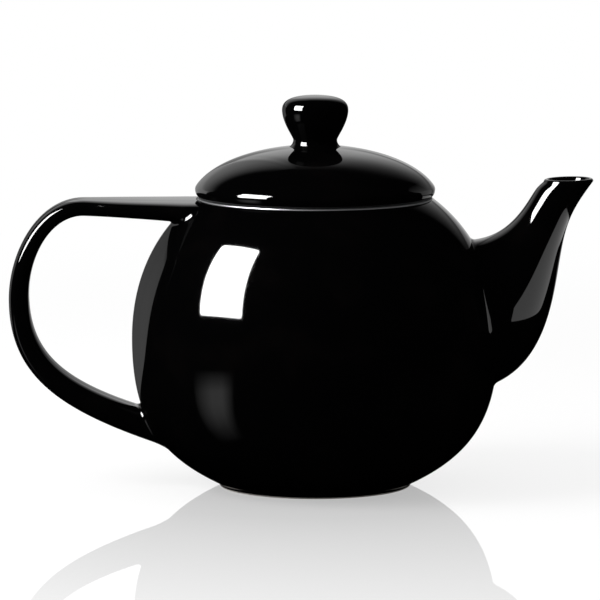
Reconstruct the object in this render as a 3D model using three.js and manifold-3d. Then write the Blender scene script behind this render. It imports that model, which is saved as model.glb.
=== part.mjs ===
// Infuser teapot: a glazed ceramic pot with a strap handle and a short spout,
// a domed lid with a knob, and a perforated steel basket that hangs in the mouth.
// Millimetres, +Z up, the spout towards +X and the handle towards -X.

import * as THREE from 'three';
import { mergeVertices } from 'three/addons/utils/BufferGeometryUtils.js';
import Module from 'manifold-3d';

const wasm = await Module();
wasm.setup();

// Clearances between pieces
const SEAT_GAP = 0.3; // between a piece and what it rests on or is bonded to
const BASKET_CLEARANCE = 0.5; // round the basket collar in the pot's mouth
const LID_CLEARANCE = 0.6; // round the lid's skirt in the basket collar
const SKIRT_GAP = 1; // below the lid's skirt, down to the basket's sleeve

// Pot body
const BODY_RADIUS = 71.2;
const BELLY_HEIGHT = 57.5; // where the body is widest
const BELLY_RISE = 25.5; // how far the belly stays upright above its widest line
const BELLY_DROP = 28.6; // and below it
const BODY_WALL = 4;
const MOUTH_RADIUS = 38.5;
const MOUTH_EDGE = 0.8;
const RIM_WIDTH = 7.7; // from the mouth out to the shoulder
const RIM_HEIGHT = 112;
const RIM_ROUND = 2.5;
const SHOULDER_RUN = 14;
const SHOULDER_FALL = 10.5;
const FOOT_RADIUS = 37.2;
const FOOT_WIDTH = 5;
const FOOT_HEIGHT = 0.9; // of the foot's upright edge
const FOOT_RECESS = 2;
const HEEL_STEP = 4.9; // the foot ring slopes out this far into the body's underside
const HEEL_LIFT = 2.7;
const HEEL_RUN = 20.5;
const HEEL_RISE = 11;
const FLOOR_THICKNESS = 4.5;

// Strainer pierced through the body behind the spout
const STRAINER_HOLE_RADIUS = 1.6;
const STRAINER_PITCH = 6.4;
const STRAINER_RINGS = 2;

// Spout: x is measured out from the body's widest radius, z up from the rim
const SPOUT_WALL = 3;
const LIP_ROUND = 0.7;
const SPOUT_STATIONS = [
  { top: [-19.2, -17.5], bottom: [-13.2, -76], width: 54 },
  { top: [-10.3, -16.2], bottom: [-1.7, -72.5], width: 50 },
  { top: [-2.1, -14.2], bottom: [10.7, -63.1], width: 41 },
  { top: [3.7, -10.3], bottom: [17.3, -51.4], width: 34 },
  { top: [9.1, -4.6], bottom: [22, -34], width: 28 },
  { top: [12.6, 1], bottom: [25, -17.4], width: 23.5 },
  { top: [14.5, 3.7], bottom: [27.7, -7.2], width: 21 },
  { top: [17.3, 6.5], bottom: [36.7, 7.3], width: 18 },
];

// Handle: a broad strap that leaves the rim level as a fan and comes back below
const FINGER_ROOM = 43.8; // from the body's widest radius to the strap's middle
const HANDLE_WIDTH = 15.5;
const HANDLE_TOP_THICKNESS = 6.1;
const HANDLE_ROOT_THICKNESS = 12.1;
const HANDLE_TOP_DROP = 0.6; // the strap's top lies this far below the rim
const HANDLE_BEND_RUN = 25.5; // how far before its outermost point the strap turns down
const HANDLE_BEND_EASE = 16;
const HANDLE_OUT_HEIGHT = 73.7; // height of the outermost point
const HANDLE_OUT_RISE = 16;
const HANDLE_OUT_DROP = 28.9;
const HANDLE_ROOT_HEIGHT = 20.4;
const HANDLE_ROOT_INSET = 17.2; // how far the lower end runs inside the widest radius
const HANDLE_ROOT_RUN = 41.7;
const HANDLE_ROOT_RISE = 12.4;
const FAN_INSET = 6; // how far the fan runs in under the rim
const FAN_SPREAD = 29.5;
const FAN_START = 4;
const FAN_LENGTH = 30;
const STRAP_SQUARENESS = 3;

// Steel basket
const STEEL = 0.8;
const FLANGE_INSET = 1.2; // the flange ends this far inside the rim's outer edge
const BEND = 1.1; // where the collar turns out into the flange
const COLLAR_LAP = 4; // the collar overlaps the sleeve by this much
const BASKET_DEPTH = 84;
const SLEEVE_TAPER = 2.4;
const SLEEVE_COLUMNS = 20;
const SLEEVE_ROWS = 4;
const SLEEVE_HOLE = 2.8;
const SLEEVE_PLAIN_TOP = 12;
const SLEEVE_PLAIN_BOTTOM = 9;
const RING_HEIGHT = 4.5;
const RING_LEDGE = 1.6; // how far the ring reaches in under the disc
const DISC_HOLE = 2.8;
const DISC_PITCH = 8.2;
const DISC_RINGS = 3;

// Lid and knob
const LID_OVERHANG = 0.3; // past the rim's outer edge
const LID_EDGE = 2.3; // round of the lid's edge
const LID_WALL = 4;
const DOME_SPREAD = 1.9; // the dome is the cap of an ellipsoid this much wider than the lid
const DOME_HEIGHT = 22.4; // which is this high above its middle
const DOME_SINK = 3.2; // and has its middle this far below the lid's base
const DOME_TURN = 35; // degrees from level at which the dome runs into the edge's round
const SKIRT_DEPTH = 9;
const SKIRT_WALL = 3;
const VENT_RADIUS = 1.5;
const VENT_PLACE = 24; // from the axis, on the +Y side
const KNOB_BASE_RADIUS = 9.6;
const KNOB_SIDE = [[8.5, 2.2], [9.8, 5], [11.6, 8.6], [12.8, 13.6]]; // radius, height above the dome
const KNOB_HEIGHT = 19.5;

// Facets
const ROUND_STEPS = 40;
const SLEEVE_STEPS = 40; // two facets to each column of holes
const BODY_STEPS = 8; // along each half of the body's side
const KNOB_STEPS = 32;
const LOFT_SIDES = 20;

// Sizes that follow from the ones above
const rimRadius = MOUTH_RADIUS + RIM_WIDTH;
const flangeBottom = RIM_HEIGHT + SEAT_GAP;
const flangeTop = flangeBottom + STEEL;
const lidBase = flangeTop + SEAT_GAP;
const lidRadius = rimRadius + LID_OVERHANG;
const domeRadius = lidRadius + DOME_SPREAD;
const domeMiddle = lidBase - DOME_SINK;
const domeTop = domeMiddle + DOME_HEIGHT;
const collarRadius = MOUTH_RADIUS - BASKET_CLEARANCE;
const collarInner = collarRadius - STEEL;
const skirtRadius = collarInner - LID_CLEARANCE;
const sleeveTop = lidBase - SKIRT_DEPTH - SKIRT_GAP;
const sleeveRadius = collarInner - SEAT_GAP;
const basketBottom = RIM_HEIGHT - BASKET_DEPTH;
const sleeveBottom = basketBottom + STEEL + SEAT_GAP;

// Materials
const glaze = () => new THREE.MeshStandardMaterial({ color: 0x08080a, roughness: 0.08, metalness: 0 });
const steel = () => new THREE.MeshStandardMaterial({ color: 0xb8babd, roughness: 0.28, metalness: 1 });

// Closed meshes and solids

function closedMesh(geometry) {
  const bare = geometry.index ? geometry.toNonIndexed() : geometry.clone();
  bare.deleteAttribute('normal');
  bare.deleteAttribute('uv');
  const merged = mergeVertices(bare, 1e-4);
  const corners = merged.index.array;
  const kept = [];
  for (let i = 0; i < corners.length; i += 3) {
    const [a, b, c] = corners.slice(i, i + 3);
    if (a !== b && b !== c && c !== a) kept.push(a, b, c);
  }
  merged.setIndex(kept);
  return merged;
}

function toSolid(geometry) {
  const mesh = closedMesh(geometry);
  return new wasm.Manifold(new wasm.Mesh({
    numProp: 3,
    vertProperties: new Float32Array(mesh.attributes.position.array),
    triVerts: new Uint32Array(mesh.index.array),
  }));
}

function toGeometry(solid) {
  const mesh = solid.getMesh();
  const geometry = new THREE.BufferGeometry();
  geometry.setAttribute('position', new THREE.BufferAttribute(mesh.vertProperties, 3));
  geometry.setIndex(Array.from(mesh.triVerts));
  geometry.computeVertexNormals();
  return geometry;
}

function piece(name, geometry, material) {
  const mesh = new THREE.Mesh(geometry, material);
  mesh.name = name;
  return mesh;
}

// A profile of [radius, height] points turned about the vertical axis
function turned(points, steps = ROUND_STEPS) {
  const profile = points.map((p) => new THREE.Vector2(p.x ?? p[0], p.y ?? p[1]));
  return new THREE.LatheGeometry(profile, steps).rotateX(Math.PI / 2);
}

function turnedClosed(points, steps = ROUND_STEPS) {
  return turned([...points, points[0]], steps);
}

// A skin over equal rings of points, with a flat fan over each end
function loft(rings) {
  const sides = rings[0].length;
  const middles = [rings[0], rings.at(-1)].map((ring) =>
    ring.reduce((sum, p) => sum.add(p), new THREE.Vector3()).divideScalar(sides));
  const points = [...rings.flat(), ...middles];
  const last = (rings.length - 1) * sides;
  const triangles = [];
  for (let j = 0; j < sides; j += 1) {
    const k = (j + 1) % sides;
    for (let i = 0; i < last; i += sides) {
      triangles.push(i + j, i + k, i + sides + j);
      triangles.push(i + k, i + sides + k, i + sides + j);
    }
    triangles.push(points.length - 2, k, j);
    triangles.push(points.length - 1, last + j, last + k);
  }
  const geometry = new THREE.BufferGeometry().setFromPoints(points);
  geometry.setIndex(triangles);
  geometry.computeVertexNormals();
  return geometry;
}

// Pot body

const rimNormal = new THREE.Vector2(SHOULDER_FALL, SHOULDER_RUN).normalize();
const shoulderTop = new THREE.Vector2(rimRadius, RIM_HEIGHT - RIM_ROUND * (1 - rimNormal.y));
const heelStart = new THREE.Vector2(FOOT_RADIUS + HEEL_STEP, FOOT_HEIGHT + HEEL_LIFT);
const belly = new THREE.Vector2(BODY_RADIUS, BELLY_HEIGHT);

const heelCurve = new THREE.CubicBezierCurve(
  heelStart,
  new THREE.Vector2(heelStart.x + HEEL_RUN, heelStart.y + HEEL_RISE),
  new THREE.Vector2(belly.x, belly.y - BELLY_DROP),
  belly,
);
const shoulderCurve = new THREE.CubicBezierCurve(
  belly,
  new THREE.Vector2(belly.x, belly.y + BELLY_RISE),
  new THREE.Vector2(shoulderTop.x + SHOULDER_RUN, shoulderTop.y - SHOULDER_FALL),
  shoulderTop,
);

// The side of the body from heel to shoulder, moved outwards by an offset
function bodySide(offset, steps) {
  const points = [];
  for (const curve of [heelCurve, shoulderCurve]) {
    const first = curve === heelCurve ? 0 : 1;
    for (let i = first; i <= steps; i += 1) {
      const point = curve.getPoint(i / steps);
      const tangent = curve.getTangent(i / steps);
      points.push(new THREE.Vector2(point.x + offset * tangent.y, point.y - offset * tangent.x));
    }
  }
  return points;
}

// The round of the rim from the shoulder to its flat top, moved outwards by an offset
function rimRound(offset, steps = 3) {
  const centre = shoulderTop.clone().addScaledVector(rimNormal, -RIM_ROUND);
  const start = rimNormal.angle();
  const points = [];
  for (let i = 1; i <= steps; i += 1) {
    const angle = THREE.MathUtils.lerp(start, Math.PI / 2, i / steps);
    const radius = RIM_ROUND + offset;
    points.push([centre.x + radius * Math.cos(angle), centre.y + radius * Math.sin(angle)]);
  }
  return points;
}

// The filled outer form, which the handle and the spout are fitted to
function bodyEnvelope(gap) {
  const side = bodySide(gap, BODY_STEPS);
  return toSolid(turned([[0, side[0].y], ...side, ...rimRound(gap), [0, RIM_HEIGHT + gap]]));
}

// Centres of a hexagonal pattern, out to a number of rings
function hexagonPattern(rings, pitch) {
  const centres = [];
  for (let row = -rings; row <= rings; row += 1) {
    const count = 2 * rings + 1 - Math.abs(row);
    for (let i = 0; i < count; i += 1) {
      centres.push([(i - (count - 1) / 2) * pitch, row * pitch * Math.sqrt(3) / 2]);
    }
  }
  return centres;
}

function spoutRootHeight() {
  const root = SPOUT_STATIONS[1];
  return RIM_HEIGHT + (root.top[1] + root.bottom[1]) / 2;
}

function strainerCutters() {
  const reach = BODY_RADIUS;
  return hexagonPattern(STRAINER_RINGS, STRAINER_PITCH).map(([y, z]) => {
    const drill = new THREE.CylinderGeometry(STRAINER_HOLE_RADIUS, STRAINER_HOLE_RADIUS, reach, 6);
    drill.rotateZ(Math.PI / 2).translate(BODY_RADIUS, y, spoutRootHeight() + z);
    return toSolid(drill);
  });
}

function potBody() {
  const inside = bodySide(-BODY_WALL, BODY_STEPS / 2).reverse();
  const floorTop = FOOT_RECESS + FLOOR_THICKNESS;
  const ledge = inside[0];
  const profile = [
    [0, FOOT_RECESS],
    [FOOT_RADIUS - FOOT_WIDTH, FOOT_RECESS],
    [FOOT_RADIUS - FOOT_WIDTH, 0],
    [FOOT_RADIUS, 0],
    [FOOT_RADIUS, FOOT_HEIGHT],
    ...bodySide(0, BODY_STEPS),
    ...rimRound(0),
    [MOUTH_RADIUS + MOUTH_EDGE, RIM_HEIGHT],
    [MOUTH_RADIUS, RIM_HEIGHT - MOUTH_EDGE],
    [MOUTH_RADIUS, ledge.y + MOUTH_EDGE],
    [MOUTH_RADIUS + MOUTH_EDGE, ledge.y],
    ...inside,
    [0, floorTop],
  ];
  const holes = strainerCutters().reduce((all, hole) => all.add(hole));
  return piece('pot_body', toGeometry(toSolid(turned(profile)).subtract(holes)), glaze());
}

// Spout

// Rings along the spout, drawn in by an inset, with the ends run on by an overrun
function spoutRings(inset, overrun, steps = 18) {
  const top = new THREE.SplineCurve(SPOUT_STATIONS.map((s) => new THREE.Vector2(...s.top)));
  const bottom = new THREE.SplineCurve(SPOUT_STATIONS.map((s) => new THREE.Vector2(...s.bottom)));
  const width = new THREE.SplineCurve(SPOUT_STATIONS.map((s, i) => new THREE.Vector2(i, s.width)));
  const rings = [];
  for (let i = 0; i <= steps; i += 1) {
    const upper = top.getPoint(i / steps);
    const lower = bottom.getPoint(i / steps);
    const half = upper.clone().sub(lower).multiplyScalar(0.5);
    half.setLength(half.length() - inset);
    const middle = upper.clone().add(lower).multiplyScalar(0.5);
    const side = width.getPoint(i / steps).y / 2 - inset;
    const ring = [];
    for (let j = 0; j < LOFT_SIDES; j += 1) {
      const angle = 2 * Math.PI * j / LOFT_SIDES;
      ring.push(new THREE.Vector3(
        BODY_RADIUS + middle.x + half.x * Math.cos(angle),
        -side * Math.sin(angle),
        RIM_HEIGHT + middle.y + half.y * Math.cos(angle),
      ));
    }
    rings.push(ring);
  }
  if (overrun > 0) {
    rings.unshift(rings[0].map((p) => p.clone().setX(p.x - overrun)));
    rings.push(rings.at(-1).map((p) => p.clone().setZ(p.z + overrun)));
  }
  return rings;
}

function spout() {
  const outer = spoutRings(0, 0);
  const lip = spoutRings(LIP_ROUND, 0).at(-1);
  outer.push(lip.map((p) => p.clone().setZ(p.z + LIP_ROUND)));
  const bore = toSolid(loft(spoutRings(SPOUT_WALL, 3)));
  const solid = toSolid(loft(outer)).subtract(bore).subtract(bodyEnvelope(SEAT_GAP));
  return piece('spout', toGeometry(solid), glaze());
}

// Handle

function handlePath() {
  const outermost = -(BODY_RADIUS + FINGER_ROOM);
  const top = RIM_HEIGHT - HANDLE_TOP_DROP - HANDLE_TOP_THICKNESS / 2;
  const bend = new THREE.Vector3(outermost + HANDLE_BEND_RUN, 0, top);
  const out = new THREE.Vector3(outermost, 0, HANDLE_OUT_HEIGHT);
  const root = new THREE.Vector3(-(BODY_RADIUS - HANDLE_ROOT_INSET), 0, HANDLE_ROOT_HEIGHT);
  const path = new THREE.CurvePath();
  path.add(new THREE.LineCurve3(new THREE.Vector3(-(rimRadius - FAN_INSET), 0, top), bend));
  path.add(new THREE.CubicBezierCurve3(
    bend,
    new THREE.Vector3(bend.x - HANDLE_BEND_EASE, 0, top),
    new THREE.Vector3(out.x, 0, out.z + HANDLE_OUT_RISE),
    out,
  ));
  path.add(new THREE.CubicBezierCurve3(
    out,
    new THREE.Vector3(out.x, 0, out.z - HANDLE_OUT_DROP),
    new THREE.Vector3(root.x - HANDLE_ROOT_RUN, 0, root.z + HANDLE_ROOT_RISE),
    root,
  ));
  return path;
}

// A rounded rectangle as one closed power curve
function strapCorner(angle) {
  const power = 2 / STRAP_SQUARENESS;
  const c = Math.cos(angle);
  const s = Math.sin(angle);
  return [Math.sign(c) * Math.abs(c) ** power, Math.sign(s) * Math.abs(s) ** power];
}

function handle(steps = 30) {
  const path = handlePath();
  const length = path.getLength();
  const rings = [];
  for (let i = 0; i <= steps; i += 1) {
    const share = i / steps;
    const point = path.getPointAt(share);
    const tangent = path.getTangentAt(share);
    const outward = new THREE.Vector3(0, 1, 0).cross(tangent).normalize();
    const thickness = THREE.MathUtils.lerp(HANDLE_TOP_THICKNESS, HANDLE_ROOT_THICKNESS, share ** 2);
    const fan = 1 - THREE.MathUtils.smoothstep(share * length, FAN_START, FAN_START + FAN_LENGTH);
    const width = HANDLE_WIDTH + FAN_SPREAD * fan;
    const ring = [];
    for (let j = 0; j < LOFT_SIDES; j += 1) {
      const [across, along] = strapCorner(2 * Math.PI * j / LOFT_SIDES);
      const corner = point.clone().addScaledVector(outward, across * thickness / 2);
      corner.y += along * width / 2;
      ring.push(corner);
    }
    rings.push(ring);
  }
  const solid = toSolid(loft(rings)).subtract(bodyEnvelope(SEAT_GAP));
  return piece('handle', toGeometry(solid), glaze());
}

// Steel basket

function infuserRim() {
  const flangeRadius = rimRadius - FLANGE_INSET;
  const bottom = sleeveTop - COLLAR_LAP;
  return piece('infuser_rim', turnedClosed([
    [collarInner, bottom],
    [collarRadius, bottom],
    [collarRadius, flangeBottom - BEND],
    [collarRadius + BEND, flangeBottom],
    [flangeRadius - STEEL / 2, flangeBottom],
    [flangeRadius, flangeBottom + STEEL / 2],
    [flangeRadius - STEEL / 2, flangeTop],
    [collarRadius + BEND - STEEL / 2, flangeTop],
    [collarInner, flangeTop - BEND - STEEL / 2],
  ]), steel());
}

// Outer radius of the sleeve at a height: it narrows evenly downwards
function sleeveRadiusAt(height) {
  const share = (sleeveTop - height) / (sleeveTop - sleeveBottom);
  return sleeveRadius - SLEEVE_TAPER * share;
}

// Bars across the whole sleeve: each one pierces two opposite holes
function sleeveCutters() {
  const top = sleeveTop - SLEEVE_PLAIN_TOP;
  const bottom = sleeveBottom + SLEEVE_PLAIN_BOTTOM;
  const cutters = [];
  for (let row = 0; row < SLEEVE_ROWS; row += 1) {
    const height = THREE.MathUtils.lerp(bottom, top, row / (SLEEVE_ROWS - 1));
    for (let i = 0; i < SLEEVE_COLUMNS / 2; i += 1) {
      const turn = 2 * Math.PI * (i + 0.25 + (row % 2) / 2) / SLEEVE_COLUMNS;
      const bar = new THREE.BoxGeometry(3 * sleeveRadius, SLEEVE_HOLE, SLEEVE_HOLE);
      bar.rotateX(Math.PI / 4).rotateZ(turn).translate(0, 0, height);
      cutters.push(toSolid(bar));
    }
  }
  return cutters;
}

function infuserWall() {
  const low = sleeveRadius - SLEEVE_TAPER;
  const sleeve = toSolid(turnedClosed([
    [low - STEEL, sleeveBottom],
    [low, sleeveBottom],
    [sleeveRadius, sleeveTop],
    [sleeveRadius - STEEL, sleeveTop],
  ], SLEEVE_STEPS));
  const pierced = sleeveCutters().reduce((rest, bar) => rest.subtract(bar), sleeve);
  return piece('infuser_wall', toGeometry(pierced), steel());
}

function infuserBaseRing() {
  const ringTop = basketBottom + RING_HEIGHT;
  const inner = sleeveRadiusAt(ringTop) + SEAT_GAP;
  const ledge = sleeveRadius - SLEEVE_TAPER - STEEL - SEAT_GAP - RING_LEDGE;
  return piece('infuser_base_ring', turnedClosed([
    [ledge, basketBottom],
    [inner + STEEL / 2, basketBottom],
    [inner + STEEL, basketBottom + STEEL / 2],
    [inner + STEEL, ringTop],
    [inner, ringTop],
    [inner, basketBottom + STEEL],
    [ledge, basketBottom + STEEL],
  ]), steel());
}

function infuserBaseDisc() {
  const radius = sleeveRadius - SLEEVE_TAPER - STEEL - SEAT_GAP;
  const outline = new THREE.Shape().absarc(0, 0, radius, 0, 2 * Math.PI);
  for (const [x, y] of hexagonPattern(DISC_RINGS, DISC_PITCH)) {
    outline.holes.push(new THREE.Path([
      new THREE.Vector2(x + DISC_HOLE / 2, y),
      new THREE.Vector2(x, y + DISC_HOLE / 2),
      new THREE.Vector2(x - DISC_HOLE / 2, y),
      new THREE.Vector2(x, y - DISC_HOLE / 2),
    ]));
  }
  const plate = new THREE.ExtrudeGeometry(outline, { depth: STEEL, bevelEnabled: false, curveSegments: 24 });
  plate.translate(0, 0, sleeveBottom);
  return piece('infuser_base_disc', toGeometry(toSolid(plate)), steel());
}

// Lid and knob

function domeHeight(radius, inset = 0) {
  const share = radius / (domeRadius - inset);
  return domeMiddle + (DOME_HEIGHT - inset) * Math.sqrt(1 - share ** 2);
}

function lidShell() {
  const skirtInner = skirtRadius - SKIRT_WALL;
  const skirtBottom = lidBase - SKIRT_DEPTH;
  const under = [0, 0.35, 0.65, 0.88, 1].map((share) => {
    const radius = share * skirtInner;
    return [radius, domeHeight(radius, LID_WALL)];
  });
  const edge = [-90, -60, -30, 0, DOME_TURN].map((degrees) => {
    const angle = THREE.MathUtils.degToRad(degrees);
    return [
      lidRadius - LID_EDGE * (1 - Math.cos(angle)),
      lidBase + LID_EDGE * (1 + Math.sin(angle)),
    ];
  });
  const dome = [0.96, 0.9, 0.82, 0.7, 0.55, 0.38, 0.2, 0].map((share) => {
    const radius = share * lidRadius;
    return [radius, domeHeight(radius)];
  });
  const shell = toSolid(turned([
    ...under,
    [skirtInner, skirtBottom],
    [skirtRadius - MOUTH_EDGE, skirtBottom],
    [skirtRadius, skirtBottom + MOUTH_EDGE],
    [skirtRadius, lidBase],
    ...edge,
    ...dome,
  ]));
  const vent = new THREE.CylinderGeometry(VENT_RADIUS, VENT_RADIUS, DOME_HEIGHT, 8);
  vent.rotateX(Math.PI / 2).translate(0, VENT_PLACE, domeTop);
  return piece('lid_shell', toGeometry(shell.subtract(toSolid(vent))), glaze());
}

function lidKnob() {
  const seat = [0, 0.5, 1].map((share) => {
    const radius = share * KNOB_BASE_RADIUS;
    return [radius, domeHeight(radius) + SEAT_GAP];
  });
  const stations = KNOB_SIDE.map(([radius, height]) => new THREE.Vector2(radius, domeTop + height));
  const side = new THREE.SplineCurve([new THREE.Vector2(...seat.at(-1)), ...stations]).getPoints(10).slice(1);
  const wide = stations.at(-1);
  const crown = [18, 36, 54, 72, 90].map((degrees) => {
    const angle = THREE.MathUtils.degToRad(degrees);
    const rise = domeTop + KNOB_HEIGHT - wide.y;
    return [degrees === 90 ? 0 : wide.x * Math.cos(angle) ** 0.6, wide.y + rise * Math.sin(angle)];
  });
  return piece('lid_knob', turned([...seat, ...side, ...crown], KNOB_STEPS), glaze());
}

// The whole teapot, with the origin under the middle of its bounding box
const vessel = new THREE.Group();
vessel.add(
  potBody(),
  spout(),
  handle(),
  infuserRim(),
  infuserWall(),
  infuserBaseRing(),
  infuserBaseDisc(),
  lidShell(),
  lidKnob(),
);
const bounds = new THREE.Box3().setFromObject(vessel, true);
vessel.position.x = -(bounds.min.x + bounds.max.x) / 2;

const teapot = new THREE.Group();
teapot.add(vessel);

export default teapot;
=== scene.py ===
import bisect
import math

import bmesh
import bpy
from mathutils import Matrix, Vector
from mathutils.geometry import interpolate_bezier


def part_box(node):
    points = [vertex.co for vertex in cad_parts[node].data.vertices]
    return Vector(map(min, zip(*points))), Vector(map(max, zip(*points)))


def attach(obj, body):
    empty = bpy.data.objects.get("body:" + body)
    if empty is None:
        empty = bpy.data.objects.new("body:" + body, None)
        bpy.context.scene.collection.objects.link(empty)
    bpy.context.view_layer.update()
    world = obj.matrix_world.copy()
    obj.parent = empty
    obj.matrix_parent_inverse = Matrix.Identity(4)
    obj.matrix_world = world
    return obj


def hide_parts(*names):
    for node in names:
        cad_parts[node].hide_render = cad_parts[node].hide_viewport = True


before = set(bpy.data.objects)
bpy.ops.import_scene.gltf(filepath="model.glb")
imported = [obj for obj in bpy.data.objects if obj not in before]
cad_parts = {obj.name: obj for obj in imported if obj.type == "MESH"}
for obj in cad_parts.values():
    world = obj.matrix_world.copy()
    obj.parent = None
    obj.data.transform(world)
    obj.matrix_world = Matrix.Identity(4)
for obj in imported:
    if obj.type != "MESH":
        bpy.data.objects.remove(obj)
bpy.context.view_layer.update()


# Pot body: a turned stoneware vessel with a foot ring, dipped in black gloss glaze. The glaze stops
# short of the foot, whose edge is bare clay. A ledge in the mouth carries the steel basket, and a
# strainer is drilled through the wall where the spout is luted on.
MM = 0.001
pot_low, pot_high = (Vector(corner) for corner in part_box("pot_body"))
AXIS_X = (pot_low.x + pot_high.x) / 2
BODY_RADIUS = (pot_high.x - pot_low.x) / 2
RIM_HEIGHT = pot_high.z
BELLY_HEIGHT = 57.5 * MM
BELLY_FALL = 28.6 * MM  # how far the side's two curves are pulled straight down and up at the belly
BELLY_CLIMB = 25.5 * MM
SIDE_STEPS = 64
BODY_WALL = 4 * MM
MOUTH_RADIUS = 38.5 * MM
MOUTH_EDGE = 0.8 * MM
RIM_RADIUS = MOUTH_RADIUS + 7.7 * MM
RIM_ROUND = 2.5 * MM
SHOULDER = Vector((14, -10.5)) * MM  # the slope that the shoulder has where it meets the rim
FOOT_RADIUS = 37.2 * MM
FOOT_INNER = 32.2 * MM
FOOT_RECESS = 2 * MM
FOOT_EDGE = 0.4 * MM
FOOT_LEAD = 0.9 * MM  # how far the foot ring's side goes straight up before it turns out to the heel
HEEL_LEAD = 0.15  # of the heel's slope
HEEL = Vector((42.1, 3.6)) * MM
HEEL_SLOPE = Vector((20.5, 11)) * MM
FLOOR_HEIGHT = 6.5 * MM
STRAINER_HOLE = 1.6 * MM
STRAINER_PITCH = 6.4 * MM
STRAINER_HEIGHT = RIM_HEIGHT - 44.35 * MM


def arc(centre, radius, start, end, steps=6):
    """Points on a round corner of a profile, from one angle in degrees to another."""
    turns = (math.radians(start + (end - start) * i / steps) for i in range(steps + 1))
    return [(centre[0] + radius * math.cos(t), centre[1] + radius * math.sin(t)) for t in turns]


def swept(start, first, second, end, steps):
    """Points on a cubic curve of a profile."""
    knots = [Vector((p[0], p[1], 0)) for p in (start, first, second, end)]
    return [(p.x, p.y) for p in interpolate_bezier(*knots, steps)]


def shown(name, corners, faces, crease=35):
    """A smooth object made of corners and faces, with edges sharper than the crease left hard."""
    mesh = bpy.data.meshes.new(name)
    mesh.from_pydata([tuple(c) for c in corners], [], faces)
    mesh.validate()
    mesh.shade_smooth()
    mesh.set_sharp_from_angle(angle=math.radians(crease))
    piece = bpy.data.objects.new(name, mesh)
    bpy.context.collection.objects.link(piece)
    return piece


def turned(name, profile, steps=192, closed=False):
    """A piece turned about the pot's axis from radius and height points, its outer side upwards."""
    corners, rows, faces = [], [], []
    for radius, height in profile:
        if radius < 1e-7:
            rows.append([len(corners)] * steps)
            corners.append((AXIS_X, 0, height))
            continue
        rows.append(range(len(corners), len(corners) + steps))
        for j in range(steps):
            turn = math.tau * j / steps
            corners.append((AXIS_X + radius * math.cos(turn), radius * math.sin(turn), height))
    if closed:
        rows.append(rows[0])
    for low, high in zip(rows, rows[1:]):
        for j in range(steps):
            k = (j + 1) % steps
            faces.append(list(dict.fromkeys((low[j], low[k], high[k], high[j]))))
    return shown(name, corners, faces)


def drills(places, direction, radius, length, sides=24):
    """One cutter object of round rods, each centred on a place and lying along a direction."""
    rods = bmesh.new()
    turn = Vector((0, 0, 1)).rotation_difference(Vector(direction)).to_matrix().to_4x4()
    for place in places:
        bmesh.ops.create_cone(
            rods, cap_ends=True, segments=sides, radius1=radius, radius2=radius,
            depth=length, matrix=Matrix.Translation(place) @ turn,
        )
    mesh = bpy.data.meshes.new("drills")
    rods.to_mesh(mesh)
    rods.free()
    cutter = bpy.data.objects.new("drills", mesh)
    bpy.context.collection.objects.link(cutter)
    return cutter


def drilled(piece, cutter, crease=35):
    """The piece with the cutter taken out of it."""
    cut = piece.modifiers.new("holes", "BOOLEAN")
    cut.operation = "DIFFERENCE"
    cut.solver = "EXACT"
    cut.object = cutter
    ready = piece.evaluated_get(bpy.context.evaluated_depsgraph_get())
    mesh = bpy.data.meshes.new_from_object(ready)
    piece.modifiers.clear()
    piece.data = mesh
    mesh.shade_smooth()
    mesh.set_sharp_from_angle(angle=math.radians(crease))
    bpy.data.objects.remove(cutter)


rim_normal = Vector((-SHOULDER.y, SHOULDER.x)).normalized()
shoulder_top = Vector((RIM_RADIUS, RIM_HEIGHT - RIM_ROUND * (1 - rim_normal.y)))
belly = Vector((BODY_RADIUS, BELLY_HEIGHT))
belly_down = belly - Vector((0, BELLY_FALL))
belly_up = belly + Vector((0, BELLY_CLIMB))
body_side = swept(HEEL, HEEL + HEEL_SLOPE, belly_down, belly, SIDE_STEPS)
body_side += swept(belly, belly_up, shoulder_top + SHOULDER, shoulder_top, SIDE_STEPS)[1:]
side_heights = [p[1] for p in body_side]


def side_slope(i):
    """The direction of the pot's side at one of its points."""
    before, after = body_side[max(i - 1, 0)], body_side[min(i + 1, len(body_side) - 1)]
    return Vector((after[0] - before[0], after[1] - before[1])).normalized()


def inner_side():
    """The inside of the pot's wall, from the mouth's ledge down to the floor."""
    points = []
    for i in reversed(range(len(body_side))):
        slope = side_slope(i)
        points.append((body_side[i][0] - BODY_WALL * slope.y, body_side[i][1] + BODY_WALL * slope.x))
    return points[::2]


inside = inner_side()
ledge = inside[0][1]
round_centre = shoulder_top - rim_normal * RIM_ROUND
rim_angle = math.degrees(math.atan2(rim_normal.y, rim_normal.x))
pot_profile = [(0, FOOT_RECESS), (FOOT_INNER - FOOT_EDGE, FOOT_RECESS)]
pot_profile += arc((FOOT_INNER + FOOT_EDGE, FOOT_EDGE), FOOT_EDGE, 180, 270)
pot_profile += arc((FOOT_RADIUS - FOOT_EDGE, FOOT_EDGE), FOOT_EDGE, -90, 0)
foot_side = Vector((FOOT_RADIUS, FOOT_EDGE))
foot_up = foot_side + Vector((0, FOOT_LEAD))
pot_profile += swept(foot_side, foot_up, HEEL - HEEL_SLOPE * HEEL_LEAD, HEEL, 10)[1:]
pot_profile += body_side[1:]
pot_profile += arc(round_centre, RIM_ROUND, rim_angle, 90, 8)[1:]
pot_profile += arc((MOUTH_RADIUS + MOUTH_EDGE, RIM_HEIGHT - MOUTH_EDGE), MOUTH_EDGE, 90, 180)
pot_profile += arc((MOUTH_RADIUS + MOUTH_EDGE, ledge + MOUTH_EDGE), MOUTH_EDGE, 180, 270)
pot_profile += inside
pot_profile += [(inside[-1][0] * share, FLOOR_HEIGHT) for share in (0.93, 0.6, 0.3, 0)]
pot = turned("pot", pot_profile)

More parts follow.
